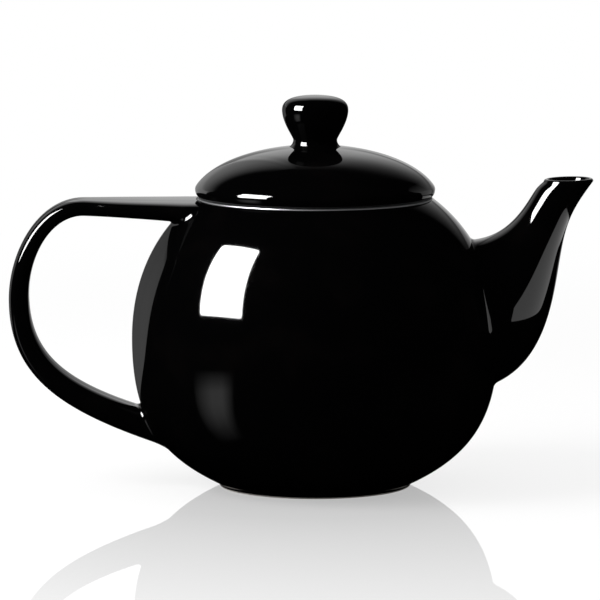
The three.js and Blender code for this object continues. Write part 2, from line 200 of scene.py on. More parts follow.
strainer = []
for row in range(-2, 3):
    count = 5 - abs(row)
    for i in range(count):
        across = (i - (count - 1) / 2) * STRAINER_PITCH
        up = row * STRAINER_PITCH * math.sqrt(3) / 2
        strainer.append(Vector((AXIS_X + BODY_RADIUS, across, STRAINER_HEIGHT + up)))
drilled(pot, drills(strainer, (1, 0, 0), STRAINER_HOLE, BODY_RADIUS))


class Tone:
    """A shader value. Python's operators on it add Math nodes."""

    def __init__(self, finish, socket):
        self.finish = finish
        self.socket = socket

    def math(self, operation, *values):
        return self.finish.node("Math", {"operation": operation}, dict(enumerate(values)))

    def __add__(self, other):
        return self.math("ADD", self, other)

    def __radd__(self, other):
        return self.math("ADD", other, self)

    def __sub__(self, other):
        return self.math("SUBTRACT", self, other)

    def __rsub__(self, other):
        return self.math("SUBTRACT", other, self)

    def __mul__(self, other):
        return self.math("MULTIPLY", self, other)

    def __rmul__(self, other):
        return self.math("MULTIPLY", other, self)

    def __gt__(self, other):
        return self.math("GREATER_THAN", self, other)

    def __lt__(self, other):
        return self.math("LESS_THAN", self, other)

    def ramp(self, low, high):
        """0 up to the low value and 1 from the high one, with a soft step between."""
        settings = {"interpolation_type": "SMOOTHSTEP"}
        return self.finish.node("MapRange", settings, {"Value": self, "From Min": low, "From Max": high})

    def graded(self, stops):
        """A level that runs straight from stop to stop, each of them a value and the level there."""
        low, high = stops[0][0], stops[-1][0]
        places = [((value - low) / (high - low), level) for value, level in stops]
        return self.finish.node("ValToRGB", {"stops": places}, {0: (self - low) * (1 / (high - low))})


class Finish:
    """A node tree, with one method that adds any node."""

    def __init__(self, owner):
        owner.use_nodes = True
        self.tree = owner.node_tree
        self.tree.nodes.clear()

    def node(self, kind, settings=None, inputs=None, output=0):
        made = self.tree.nodes.new("ShaderNode" + kind)
        for key, value in (settings or {}).items():
            if key == "stops":
                marks = made.color_ramp.elements
                for place, level in value[1:-1]:
                    marks.new(place)
                for mark, (place, level) in zip(marks, value):
                    mark.position = place
                    mark.color = (level, level, level, 1)
            else:
                setattr(made, key, value)
        for key, value in (inputs or {}).items():
            if isinstance(value, Tone):
                self.tree.links.new(value.socket, made.inputs[key])
            else:
                made.inputs[key].default_value = value
        return Tone(self, made.outputs[output]) if made.outputs else made

    def mix(self, share, first, second):
        """Colour that goes from the first to the second as the share rises."""
        return self.node("Mix", {"data_type": "RGBA"}, {0: share, 6: first, 7: second}, output=2)

    def place(self):
        """Where the point lies on the object, and its height and distance from the pot's axis."""
        spot = self.node("TexCoord", output="Object")
        height = self.node("SeparateXYZ", inputs={0: spot}, output="Z")
        flat = self.node("VectorMath", {"operation": "MULTIPLY_ADD"}, {
            0: spot, 1: (1, 1, 0), 2: (-AXIS_X, 0, 0),
        })
        radius = self.node("VectorMath", {"operation": "LENGTH"}, {0: flat}, output=1)
        return spot, height, radius


GLAZE_BLACK = (0.001, 0.001, 0.0011, 1)
GLAZE_THIN = (0.003, 0.0024, 0.0023, 1)
CLAY = (0.60, 0.57, 0.53, 1)
CLAY_DARK = (0.42, 0.39, 0.36, 1)


def glaze_finish(name, bare=None):
    """Black gloss glaze over clay. bare says where the clay is left unglazed."""
    material = bpy.data.materials.new(name)
    glaze = Finish(material)
    spot, height, radius = glaze.place()
    pooling = glaze.node("TexNoise", inputs={"Vector": spot, "Scale": 55, "Detail": 3})
    haze = glaze.node("TexNoise", inputs={"Vector": spot, "Scale": 420, "Detail": 2})
    swell = glaze.node("TexNoise", inputs={"Vector": spot, "Scale": 34, "Detail": 1})
    cells = glaze.node("TexVoronoi", inputs={"Vector": spot, "Scale": 260})
    pinhole = 1 - cells.ramp(0.02, 0.075)
    worn = glaze.node("NewGeometry", output=7).ramp(0.51, 0.60)
    colour = glaze.mix(pooling.ramp(0.45, 0.75) * 0.5 + worn * 0.5, GLAZE_BLACK, GLAZE_THIN)
    rough = 0.035 + haze * 0.03 + pinhole * 0.08
    coat = 1 - pinhole * 0.4
    grain = swell * 0.25 + pinhole * -0.12
    if bare is not None:
        clay = bare(height, radius)
        chamotte = glaze.node("TexNoise", inputs={"Vector": spot, "Scale": 900, "Detail": 4})
        speckled = glaze.mix(chamotte.ramp(0.35, 0.7), CLAY, CLAY_DARK)
        colour = glaze.mix(clay, colour, speckled)
        rough = rough + clay * (0.78 - rough)
        coat = coat * (1 - clay)
        grain = grain + clay * chamotte * 0.6
    relief = glaze.node("Bump", inputs={"Height": grain, "Strength": 0.5, "Distance": 0.06 * MM})
    surface = glaze.node("BsdfPrincipled", inputs={
        "Base Color": colour, "Roughness": rough, "IOR": 1.5, "Normal": relief,
        "Coat Weight": coat * 0.3, "Coat Roughness": 0.02,
    })
    glaze.node("OutputMaterial", inputs={"Surface": surface})
    return material


def foot_bare(height, radius):
    """The flat and the lower edges of the foot ring."""
    return (1 - height.ramp(0.35 * MM, 0.6 * MM)) * (radius > FOOT_INNER - 0.2 * MM)


pot.data.materials.append(glaze_finish("pot_glaze", foot_bare))
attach(pot, "pot")
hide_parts("pot_body")


# Spout: a hollow cast spout, luted to the wall over the strainer and blended into it with slip, so
# that its root ends in a small hollow. It narrows evenly upwards and is cut off level at the lip,
# whose edge is rounded.
SPOUT_POLES = (  # x and z of the top and of the bottom in mm, from the body's side and the rim
    (-19.4, -17.6, -13.3, -76.2),
    (-5.5, -14.1, 1, -71.4),
    (3.8, -21.5, 29.7, -71.2),
    (14.7, 5, 22, -13.8),
    (12.3, 2.2, 20.7, -14.9),
    (17.4, 6.5, 36.8, 7.2),
)
SPOUT_WIDTHS = (54.2, 43.6, 48.3, 55, 35.3, 17.1, 22.4, 19.3, 19.3)  # poles too, in mm
SPOUT_WALL = 3 * MM
SPOUT_SIDES = 112
SPOUT_ROWS = 100
SPOUT_FILLET = 1.3 * MM
ROOT_CROWDING = 1.8  # the rows lie closer towards the root, where the slip's hollow is
LIP_SHARE = 0.997  # of the poles' curve, at which the lip is cut
LIP_WALL = 2.1 * MM
LIP_STEPS = 10
BORE_ROWS = 60
BORE_TAPER = 20  # rows of the bore in which the lip's wall grows to the full one
SINK = 0.4 * MM  # how far a luted root is pressed into the wall, out of sight


def along(poles, share):
    """A point on the one smooth curve that a row of poles draws to itself."""
    points = [Vector(pole) for pole in poles]
    while len(points) > 1:
        points = [here.lerp(there, share) for here, there in zip(points, points[1:])]
    return points[0]


def wall_under(point):
    """How far a point stands off the pot's side, and the side's normal there."""
    height = min(max(point.z, side_heights[0]), side_heights[-1])
    i = min(max(bisect.bisect(side_heights, height), 1), len(body_side) - 1)
    (r0, z0), (r1, z1) = body_side[i - 1], body_side[i]
    radius = r0 + (r1 - r0) * (height - z0) / (z1 - z0)
    slope = side_slope(i) * 0.5 + side_slope(i - 1) * 0.5
    slope.normalize()
    flat = Vector((point.x - AXIS_X, point.y, 0))
    normal = flat.normalized() * slope.y - Vector((0, 0, slope.x))
    return (flat.length - radius) * slope.y, normal


def luted(point, outward, fillet):
    """The point moved out along the pot's side, so that a root ends in a hollow of that radius."""
    stand, normal = wall_under(point)
    if stand >= fillet or fillet <= 0:
        return point
    run = outward - normal * outward.dot(normal)
    run.normalize()
    reach = fillet * (1 - math.sqrt(max(0, 1 - (1 - max(stand, 0) / fillet) ** 2)))
    moved = point + run * reach
    again, normal = wall_under(moved)
    return moved + normal * (stand - again)


def spout_point(share, angle, inset):
    """A point on the spout's skin, drawn in by an inset, and the way out from the spout there."""
    top_x, top_z, low_x, low_z = along(SPOUT_POLES, share) * MM
    width = along([(width, 0) for width in SPOUT_WIDTHS], share).x * MM
    half = Vector((top_x - low_x, 0, top_z - low_z)) / 2
    middle = Vector((AXIS_X + BODY_RADIUS + (top_x + low_x) / 2, 0, RIM_HEIGHT + (top_z + low_z) / 2))
    reach = half.normalized() * (half.length - inset) * math.cos(angle)
    reach -= Vector((0, (width / 2 - inset) * math.sin(angle), 0))
    return middle + reach, reach.normalized()


def leaves_wall(skin, low=0.0, high=1.0):
    """The share at which a line on a skin comes out of the pot's side."""
    for _ in range(30):
        middle = (low + high) / 2
        if wall_under(skin(middle))[0] > 0:
            high = middle
        else:
            low = middle
    return high


def grid(name, rows):
    """A closed ring of closed rings of points, as one skin."""
    sides = len(rows[0])
    faces = []
    for i in range(len(rows)):
        n = (i + 1) % len(rows)
        for j in range(sides):
            k = (j + 1) % sides
            faces.append((i * sides + j, i * sides + k, n * sides + k, n * sides + j))
    return shown(name, [p for row in rows for p in row], faces, crease=60)


def spout_rows():
    """Rows from the root up the outside, over the lip and down the bore."""
    turns = [math.tau * j / SPOUT_SIDES for j in range(SPOUT_SIDES)]
    outer_start = [leaves_wall(lambda s: spout_point(s, a, 0)[0], high=0.7) for a in turns]
    inner_start = [leaves_wall(lambda s: spout_point(s, a, SPOUT_WALL)[0], high=0.7) for a in turns]
    rows = []
    for i in range(SPOUT_ROWS + 1):
        row = []
        for start, angle in zip(outer_start, turns):
            share = start + (LIP_SHARE - start) * (i / SPOUT_ROWS) ** ROOT_CROWDING
            row.append(luted(*spout_point(share, angle, 0), SPOUT_FILLET))
        rows.append(row)
    sunk = [p - wall_under(p)[1] * SINK for p in rows[0]]
    for i in range(1, LIP_STEPS):
        turn = math.pi * i / LIP_STEPS
        inset = LIP_WALL / 2 * (1 - math.cos(turn))
        rise = Vector((0, 0, LIP_WALL / 2 * math.sin(turn)))
        rows.append([spout_point(LIP_SHARE, a, inset)[0] + rise for a in turns])
    for i in range(BORE_ROWS + 1):
        row = []
        for start, angle in zip(inner_start, turns):
            share = LIP_SHARE + (start - LIP_SHARE) * i / BORE_ROWS
            wall = LIP_WALL + (SPOUT_WALL - LIP_WALL) * min(i / BORE_TAPER, 1)
            row.append(spout_point(share, angle, wall)[0])
        rows.append(row)
    rows.append([p - wall_under(p)[1] * SINK for p in rows[-1]])
    return rows + [sunk]


spout = grid("pouring_spout", spout_rows())
spout.data.materials.append(glaze_finish("spout_glaze"))
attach(spout, "pot")
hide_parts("spout")


# Handle: a pulled strap of the same clay and glaze. It leaves the rim level, spread like a fan that
# dies into the shoulder, turns down in a wide bow, and thickens to its lower root on the belly.
FINGER_ROOM = 43.78 * MM
STRAP_BELOW = 0.1 * MM  # how far the strap's top lies below the rim
STRAP_INSIDE = 6 * MM  # how far inside the rim's edge its middle line starts
STRAP_TOP = 6.1 * MM  # its thickness at the fan, and below at the lower root
STRAP_ROOT = 12.1 * MM
STRAP_SQUARENESS = 3
FAN_WIDTHS = (39.5, 35.5, 31, 34, 20, 20)  # poles in mm, from the rim outwards
FAN_START = 10 * MM
FAN_LENGTH = 42 * MM
FAN_DEPTH = 2.4 * MM  # how much deeper its underside is at the rim
FAN_FALL = 1.5
BEND_REACH = 25.5 * MM  # where the level part ends, from the outermost point of the bow
BEND_PULL = 16 * MM
BOW_HEIGHT = 73.7 * MM
BOW_PULL = 28.9 * MM
ROOT_INSIDE = 17.2 * MM
ROOT_HEIGHT = 20.4 * MM
ROOT_PULL = Vector((-41.7, 0, 12.4)) * MM
HANDLE_SIDES = 88
HANDLE_ROWS = 220
HANDLE_FILLET = 2.6 * MM
SKIN_SIDE = 0.1  # the upward share of the fan's normal from which the slip's hollow fades out
SKIN_TOP = 0.7

strap_level = RIM_HEIGHT - STRAP_BELOW - STRAP_TOP / 2
strap_out = AXIS_X - BODY_RADIUS - FINGER_ROOM
strap_start = Vector((AXIS_X - RIM_RADIUS + STRAP_INSIDE, 0, strap_level))
strap_bend = Vector((strap_out + BEND_REACH, 0, strap_level))
strap_side = Vector((strap_out, 0, BOW_HEIGHT))
strap_end = Vector((AXIS_X - BODY_RADIUS + ROOT_INSIDE, 0, ROOT_HEIGHT))
strap_route = [strap_start.lerp(strap_bend, i / 60) for i in range(60)]
bend_lead = strap_bend - Vector((BEND_PULL, 0, 0))
side_lead = strap_side + Vector((0, 0, BEND_PULL))
strap_route += interpolate_bezier(strap_bend, bend_lead, side_lead, strap_side, 120)[:-1]
bow_lead = strap_side - Vector((0, 0, BOW_PULL))
strap_route += interpolate_bezier(strap_side, bow_lead, strap_end + ROOT_PULL, strap_end, 160)
strap_lengths = [0.0]
for here, there in zip(strap_route, strap_route[1:]):
    strap_lengths.append(strap_lengths[-1] + (there - here).length)


def strap_point(share, angle):
    """A point on the strap's skin, and the way out from the strap there."""
    length = share * strap_lengths[-1]
    i = min(max(bisect.bisect(strap_lengths, length), 1), len(strap_route) - 1)
    part = (length - strap_lengths[i - 1]) / (strap_lengths[i] - strap_lengths[i - 1])
    middle = strap_route[i - 1].lerp(strap_route[i], part)
    before, after = strap_route[max(i - 3, 0)], strap_route[min(i + 2, len(strap_route) - 1)]
    upright = Vector((0, 1, 0)).cross(after - before).normalized()
    thickness = STRAP_TOP + (STRAP_ROOT - STRAP_TOP) * share ** 2
    fan = min(max(1 - (length - FAN_START) / FAN_LENGTH, 0), 1)
    width = along([(width, 0) for width in FAN_WIDTHS], 1 - fan).x * MM
    c, s = math.cos(angle), math.sin(angle)
    power = 2 / STRAP_SQUARENESS
    thick = math.copysign(abs(c) ** power, c)
    wide = math.copysign(abs(s) ** power, s)
    point = middle + upright * thick * thickness / 2 + Vector((0, wide * width / 2, 0))
    point.z -= FAN_DEPTH * fan ** FAN_FALL * (1 - thick) / 2
    steep = 2 - power
    outward = upright * math.copysign(abs(c) ** steep, c) / thickness
    outward += Vector((0, math.copysign(abs(s) ** steep, s) / width, 0))
    return point, outward.normalized()


def handle_rows():
    """Rings from the fan round to the lower root. Slip fills both roots, but not the fan's top."""
    turns = [math.tau * j / HANDLE_SIDES for j in range(HANDLE_SIDES)]
    starts = [leaves_wall(lambda s: strap_point(s, a)[0], 0.0, 0.4) for a in turns]
    ends = [1 - leaves_wall(lambda s: strap_point(1 - s, a)[0], 0.0, 0.4) for a in turns]
    rows = []
    for i in range(HANDLE_ROWS + 1):
        eased = (1 - math.cos(math.pi * i / HANDLE_ROWS)) / 2
        row = []
        for start, end, angle in zip(starts, ends, turns):
            point, outward = strap_point(start + (end - start) * eased, angle)
            facing_up = min(max((outward.z - SKIN_SIDE) / (SKIN_TOP - SKIN_SIDE), 0), 1)
            fillet = HANDLE_FILLET * (1 - facing_up) if eased < 0.5 else HANDLE_FILLET
            row.append(luted(point, outward, fillet))
        rows.append(row)
    return rows


def capped(name, rows):
    """A tube of rings, sunk and closed at both ends."""
    first = [p - wall_under(p)[1] * SINK for p in rows[0]]
    last = [p - wall_under(p)[1] * SINK for p in rows[-1]]
    rings = [first, *rows, last]
    sides = len(first)
    faces = [tuple(reversed(range(sides)))]
    for i in range(len(rings) - 1):
        for j in range(sides):
            k = (j + 1) % sides
            low, high = i * sides, (i + 1) * sides
            faces.append((low + j, low + k, high + k, high + j))
    faces.append(tuple(range((len(rings) - 1) * sides, len(rings) * sides)))
    return shown(name, [p for ring in rings for p in ring], faces, crease=60)


strap = capped("strap_handle", handle_rows())
strap.data.materials.append(glaze_finish("handle_glaze"))
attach(strap, "pot")
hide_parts("handle")


# Basket rim: a collar pressed from satin stainless sheet, turned out at the top into a flat flange
# with a rounded edge. The flange lies on the pot's rim and shows as a bright line under the lid.
STEEL = 0.8 * MM
SEAT_GAP = 0.3 * MM
BEND = 1.1 * MM
COLLAR_RADIUS = MOUTH_RADIUS - 0.5 * MM
FLANGE_RADIUS = RIM_RADIUS - 1.2 * MM
FLANGE_SLOPE = 2.4 * MM  # how wide the part is that slopes down to the edge
EDGE_OUT = 0.5 * MM
EDGE_DROP = 0.65 * MM
LID_BASE = RIM_HEIGHT + SEAT_GAP + STEEL + SEAT_GAP
SKIRT_DEPTH = 9 * MM
SLEEVE_TOP = LID_BASE - SKIRT_DEPTH - 1 * MM
COLLAR_BOTTOM = SLEEVE_TOP - 4 * MM
STEEL_PALE = (0.62, 0.63, 0.64, 1)
STEEL_DARK = (0.50, 0.51, 0.52, 1)
STEEL_STAIN = (0.40, 0.39, 0.37, 1)

flange = RIM_HEIGHT + SEAT_GAP
bend_centre = (COLLAR_RADIUS + BEND, flange - BEND)
flange_edge = (FLANGE_RADIUS + EDGE_OUT - STEEL / 2, flange + STEEL / 2 - EDGE_DROP)
rim_profile = [(COLLAR_RADIUS - STEEL, COLLAR_BOTTOM), (COLLAR_RADIUS, COLLAR_BOTTOM)]
rim_profile += arc(bend_centre, BEND, 180, 90, 8)
rim_profile += [(FLANGE_RADIUS - FLANGE_SLOPE, flange)]
rim_profile += arc(flange_edge, STEEL / 2, -110, 70, 12)
rim_profile += [(FLANGE_RADIUS - FLANGE_SLOPE, flange + STEEL)]
rim_profile += arc(bend_centre, BEND + STEEL, 90, 180, 8)
basket_rim = turned("basket_rim", rim_profile, closed=True)


def steel_finish(name, around, worn=0.0):
    """Satin stainless sheet, with fine brush lines that run round the basket or straight across it."""
    material = bpy.data.materials.new(name)
    sheet = Finish(material)
    spot, height, radius = sheet.place()
    stretch = (90, 90, 9000) if around else (9000, 120, 120)
    drawn = sheet.node("VectorMath", {"operation": "MULTIPLY"}, {0: spot, 1: stretch})
    lines = sheet.node("TexNoise", inputs={"Vector": drawn, "Scale": 1, "Detail": 3})
    cloud = sheet.node("TexNoise", inputs={"Vector": spot, "Scale": 60, "Detail": 4})
    marks = cloud.ramp(0.52, 0.72)
    colour = sheet.mix(lines, STEEL_PALE, STEEL_DARK)
    colour = sheet.mix(marks * (0.25 + worn), colour, STEEL_STAIN)
    relief = sheet.node("Bump", inputs={"Height": lines, "Strength": 0.25, "Distance": 0.02 * MM})
    surface = sheet.node("BsdfPrincipled", inputs={
        "Base Color": colour, "Metallic": 0.9, "Roughness": 0.26 + lines * 0.16 + marks * 0.08,
        "Normal": relief,
    })
    sheet.node("OutputMaterial", inputs={"Surface": surface})
    return material


basket_rim.data.materials.append(steel_finish("rim_steel", around=True))
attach(basket_rim, "infuser")
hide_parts("infuser_rim")


# Basket sleeve: thin stainless sheet, etched through with rows of fine staggered holes, rolled to a
# slightly tapered tube and spot-welded inside the collar. A plain band is left at each end.
SLEEVE_RADIUS = COLLAR_RADIUS - STEEL - SEAT_GAP
SLEEVE_TAPER = 2.4 * MM
BASKET_BOTTOM = RIM_HEIGHT - 84 * MM
SLEEVE_BOTTOM = BASKET_BOTTOM + STEEL + SEAT_GAP
HOLE_COLUMNS = 84
HOLE_ROWS = 24
HOLE_SIZE = 0.55  # of a cell's half height
PLAIN_LOW = 7 * MM
PLAIN_HIGH = 10 * MM


def sleeve_radius(height):
    """Outer radius of the sleeve at a height."""
    return SLEEVE_RADIUS - SLEEVE_TAPER * (SLEEVE_TOP - height) / (SLEEVE_TOP - SLEEVE_BOTTOM)


def pierced_sleeve():
    """Cells with an eight-sided hole each, in staggered rows, on an outer and an inner skin."""
    low, high = SLEEVE_BOTTOM + PLAIN_LOW, SLEEVE_TOP - PLAIN_HIGH
    cell = (high - low) / HOLE_ROWS
    corners, index = [], {}

    def corner(column, height, skin):
        key = (round(column * 1e4) % (HOLE_COLUMNS * 10 ** 4), round(height * 1e8), skin)
        if key not in index:
            turn = math.tau * column / HOLE_COLUMNS
            radius = sleeve_radius(height) - skin * STEEL
            index[key] = len(corners)
            corners.append((AXIS_X + radius * math.cos(turn), radius * math.sin(turn), height))
        return index[key]

    faces = []

    def patch(points):
        faces.append([corner(c, h, 0) for c, h in points])
        faces.append([corner(c, h, 1) for c, h in reversed(points)])

    def wall(first, second):
        faces.append([corner(*first, 0), corner(*first, 1), corner(*second, 1), corner(*second, 0)])

    width = math.tau * SLEEVE_RADIUS / HOLE_COLUMNS
    square = [(-1, -1), (0, -1), (1, -1), (1, 0), (1, 1), (0, 1), (-1, 1), (-1, 0)]
    for row in range(HOLE_ROWS):
        middle = low + (row + 0.5) * cell
        for column in range(HOLE_COLUMNS):
            centre = column + (row % 2) / 2
            edge = [(centre + x / 2, middle + y * cell / 2) for x, y in square]
            hole = []
            for x, y in square:
                scale = HOLE_SIZE * cell / 2 / math.hypot(x, y)
                hole.append((centre + x * scale / width, middle + y * scale))
            for i in range(8):
                n = (i + 1) % 8
                patch([edge[i], edge[n], hole[n], hole[i]])
                wall(hole[i], hole[n])
    bands = ((SLEEVE_BOTTOM, low), (high, SLEEVE_TOP))
    for i in range(2 * HOLE_COLUMNS):
        here, there = i / 2, (i + 1) / 2
        for bottom, top in bands:
            patch([(here, bottom), (there, bottom), (there, top), (here, top)])
        wall((there, SLEEVE_BOTTOM), (here, SLEEVE_BOTTOM))
        wall((here, SLEEVE_TOP), (there, SLEEVE_TOP))
    return shown("basket_sleeve", corners, faces, crease=50)


sleeve = pierced_sleeve()
sleeve.data.materials.append(steel_finish("sleeve_steel", around=True, worn=0.1))
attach(sleeve, "infuser")
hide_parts("infuser_wall")


# Basket base ring: a shallow pressed cup of the same sheet, slipped over the sleeve's lower edge,
# with a ledge turned in under the disc.
RING_HEIGHT = 4.5 * MM
RING_LEDGE = 1.6 * MM
ring_inner = sleeve_radius(BASKET_BOTTOM + RING_HEIGHT) + SEAT_GAP
ring_ledge = SLEEVE_RADIUS - SLEEVE_TAPER - STEEL - SEAT_GAP - RING_LEDGE
ring_profile = [(ring_ledge, BASKET_BOTTOM)]
ring_profile += arc((ring_inner, BASKET_BOTTOM + STEEL), STEEL, -90, 0, 8)
ring_lip = (ring_inner + STEEL / 2, BASKET_BOTTOM + RING_HEIGHT - STEEL / 2)
ring_profile += arc(ring_lip, STEEL / 2, 0, 180, 8)
ring_profile += [(ring_inner, BASKET_BOTTOM + STEEL), (ring_ledge, BASKET_BOTTOM + STEEL)]
base_ring = turned("basket_base_ring", ring_profile, closed=True)
base_ring.data.materials.append(steel_finish("ring_steel", around=True))
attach(base_ring, "infuser")
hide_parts("infuser_base_ring")


# Basket base disc: a flat stainless disc with a close hexagonal pattern of punched holes, dropped
# into the ring and held by the sleeve's edge.
DISC_RADIUS = SLEEVE_RADIUS - SLEEVE_TAPER - STEEL - SEAT_GAP
DISC_PITCH = 3.3 * MM
DISC_HOLE = 0.75 * MM
DISC_RINGS = 8


def punched_disc():
    """A flat outline with round holes, filled and given the sheet's thickness."""
    outline = bpy.data.curves.new("disc_outline", "CURVE")
    outline.dimensions = "2D"
    outline.fill_mode = "BOTH"
    outline.extrude = STEEL / 2
    circles = [(0, 0, DISC_RADIUS, 96)]
    for row in range(-DISC_RINGS, DISC_RINGS + 1):
        count = 2 * DISC_RINGS + 1 - abs(row)
        for i in range(count):
            across = (i - (count - 1) / 2) * DISC_PITCH
            circles.append((across, row * DISC_PITCH * math.sqrt(3) / 2, DISC_HOLE, 10))
    for x, y, radius, sides in circles:
        loop = outline.splines.new("POLY")
        loop.points.add(sides - 1)
        loop.use_cyclic_u = True
        for i, point in enumerate(loop.points):
            turn = math.tau * i / sides
            point.co = (AXIS_X + x + radius * math.cos(turn), y + radius * math.sin(turn), 0, 1)
    drawn = bpy.data.objects.new("disc_outline", outline)
    bpy.context.collection.objects.link(drawn)
    flat = bpy.data.meshes.new_from_object(drawn.evaluated_get(bpy.context.evaluated_depsgraph_get()))
    bpy.data.objects.remove(drawn)
    solid = bmesh.new()
    solid.from_mesh(flat)
    bmesh.ops.remove_doubles(solid, verts=solid.verts, dist=1e-7)
    bmesh.ops.recalc_face_normals(solid, faces=solid.faces)
    bmesh.ops.translate(solid, verts=solid.verts, vec=(0, 0, SLEEVE_BOTTOM + STEEL / 2))
    solid.to_mesh(flat)
    solid.free()
    flat.shade_smooth()
    flat.set_sharp_from_angle(angle=math.radians(50))
    disc = bpy.data.objects.new("basket_base_disc", flat)
    bpy.context.collection.objects.link(disc)
    return disc


disc = punched_disc()
disc.data.materials.clear()
disc.data.materials.append(steel_finish("disc_steel", around=False, worn=0.15))
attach(disc, "infuser")
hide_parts("infuser_base_disc")


# Lid: a cast dome in the pot's black glaze with a soft rolled edge, hollow beneath, with a bare clay
# edge on its locating skirt and a drilled steam vent.
LID_RADIUS = RIM_RADIUS + 0.3 * MM
LID_EDGE = 2.3 * MM
LID_HANG = 0.65 * MM  # how far the edge's lower half reaches down over the flange's slope
LID_TUCK = 1.9 * MM  # how far that half curls in
LID_SEAT = FLANGE_RADIUS - 2.2 * MM  # the radius within which the lid's seat is flat
LID_WALL = 4 * MM
DOME_RADIUS = 48.4 * MM  # the dome is the cap of an ellipsoid of this half width
DOME_RISE = 22.4 * MM
DOME_MIDDLE = LID_BASE - 3.2 * MM
DOME_TURN = 35  # degrees from level at which the dome runs into the edge's round
SKIRT_RADIUS = COLLAR_RADIUS - STEEL - 0.6 * MM
SKIRT_WALL = 3 * MM
SKIRT_EDGE = 0.7 * MM
VENT_PLACE = 24 * MM
VENT_RADIUS = 1.5 * MM


def dome_height(radius, inset=0.0):
    """Height of the dome over a radius, drawn in by an inset."""
    return DOME_MIDDLE + (DOME_RISE - inset) * math.sqrt(1 - (radius / (DOME_RADIUS - inset)) ** 2)


skirt_bottom = LID_BASE - SKIRT_DEPTH
skirt_inner = SKIRT_RADIUS - SKIRT_WALL
lid_profile = [(skirt_inner * i / 30, dome_height(skirt_inner * i / 30, LID_WALL)) for i in range(31)]
lid_profile += arc((skirt_inner + SKIRT_EDGE, skirt_bottom + SKIRT_EDGE), SKIRT_EDGE, 180, 270)
lid_profile += arc((SKIRT_RADIUS - SKIRT_EDGE, skirt_bottom + SKIRT_EDGE), SKIRT_EDGE, -90, 0)
lid_profile += [(SKIRT_RADIUS, LID_BASE), (LID_SEAT, LID_BASE)]
for step in range(-10, 1):
    turn = math.radians(11 * step)
    height = LID_BASE + LID_EDGE + (LID_EDGE + LID_HANG) * math.sin(turn)
    lid_profile.append((LID_RADIUS - LID_TUCK * (1 - math.cos(turn)), height))
lid_profile += arc((LID_RADIUS - LID_EDGE, LID_BASE + LID_EDGE), LID_EDGE, 0, DOME_TURN, 8)[1:]
dome_start = math.acos(lid_profile[-1][0] / DOME_RADIUS)
for step in range(1, 81):
    turn = dome_start + (math.pi / 2 - dome_start) * step / 80
    reach = DOME_RADIUS * math.cos(turn) if step < 80 else 0
    lid_profile.append((reach, DOME_MIDDLE + DOME_RISE * math.sin(turn)))
lid = turned("domed_lid", lid_profile)
vent = Vector((AXIS_X, VENT_PLACE, dome_height(VENT_PLACE)))
drilled(lid, drills([vent], (0, 0, 1), VENT_RADIUS, DOME_RISE))


def skirt_bare(height, radius):
    """The lower edge of the skirt, wiped clean of glaze."""
    low = 1 - height.ramp(skirt_bottom + 1.2 * MM, skirt_bottom + 1.7 * MM)
    return low * (radius < SKIRT_RADIUS + 0.2 * MM)


lid.data.materials.append(glaze_finish("lid_glaze", skirt_bare))
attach(lid, "lid")
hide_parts("lid_shell")


# Knob: a turned knob with a waisted neck and a nearly flat crown, luted to the dome and glazed with
# it. Its base flares out to meet the dome.
KNOB_FOOT = 9.9 * MM
KNOB_FLARE = Vector((-0.8, 0.6)) * MM  # the way its side leaves the foot
NECK_RADIUS = 8.5 * MM
NECK_RISE = 2.2 * MM  # heights are counted from the dome's top
NECK_PULL = 1.1 * MM
KNOB_RADIUS = 12.84 * MM
KNOB_RISE = 13.8 * MM
CUP_PULL = 5 * MM
BROW_PULL = 3.4 * MM
CROWN_PULL = 9.8 * MM
dome_top = dome_height(0)
knob_foot = Vector((KNOB_FOOT, dome_height(KNOB_FOOT)))
knob_neck = Vector((NECK_RADIUS, dome_top + NECK_RISE))
knob_wide = Vector((KNOB_RADIUS, dome_top + KNOB_RISE))
knob_top = Vector((0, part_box("lid_knob")[1][2]))
neck_lead = Vector((0, NECK_PULL))
cup_lead = knob_wide - Vector((0, CUP_PULL))
brow_lead = knob_wide + Vector((0, BROW_PULL))
crown_lead = knob_top + Vector((CROWN_PULL, 0))
knob_profile = [(0, dome_top - SINK), (KNOB_FOOT, knob_foot.y - SINK)]
knob_profile += swept(knob_foot, knob_foot + KNOB_FLARE, knob_neck - neck_lead, knob_neck, 16)[:-1]
knob_profile += swept(knob_neck, knob_neck + neck_lead, cup_lead, knob_wide, 40)[:-1]
knob_profile += swept(knob_wide, brow_lead, crown_lead, knob_top, 40)
knob = turned("knob", knob_profile, steps=128)
knob.data.materials.append(glaze_finish("knob_glaze"))
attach(knob, "lid")
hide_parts("lid_knob")


# Floor: a glossy white sheet on a table. It shows the pot's soft shadow and its faint mirror image,
# and runs into plain white far off. The glaze and the steel mirror the dark studio instead of it.
FLOOR_REACH = 6
NEAR_FLOOR = 0.25  # the distances between which the shaded floor runs into plain white
FAR_FLOOR = 0.9
FLOOR_SHADE = (0.42, 0.42, 0.42, 1)
FLOOR_BOUNCE = (0.35, 0.35, 0.35, 1)  # the shade in which it lights the pot from below
FLOOR_GLOW = 0.7
MIRROR_FADE = [(0.083, 0.363), (0.31, 0.145), (0.44, 0)]

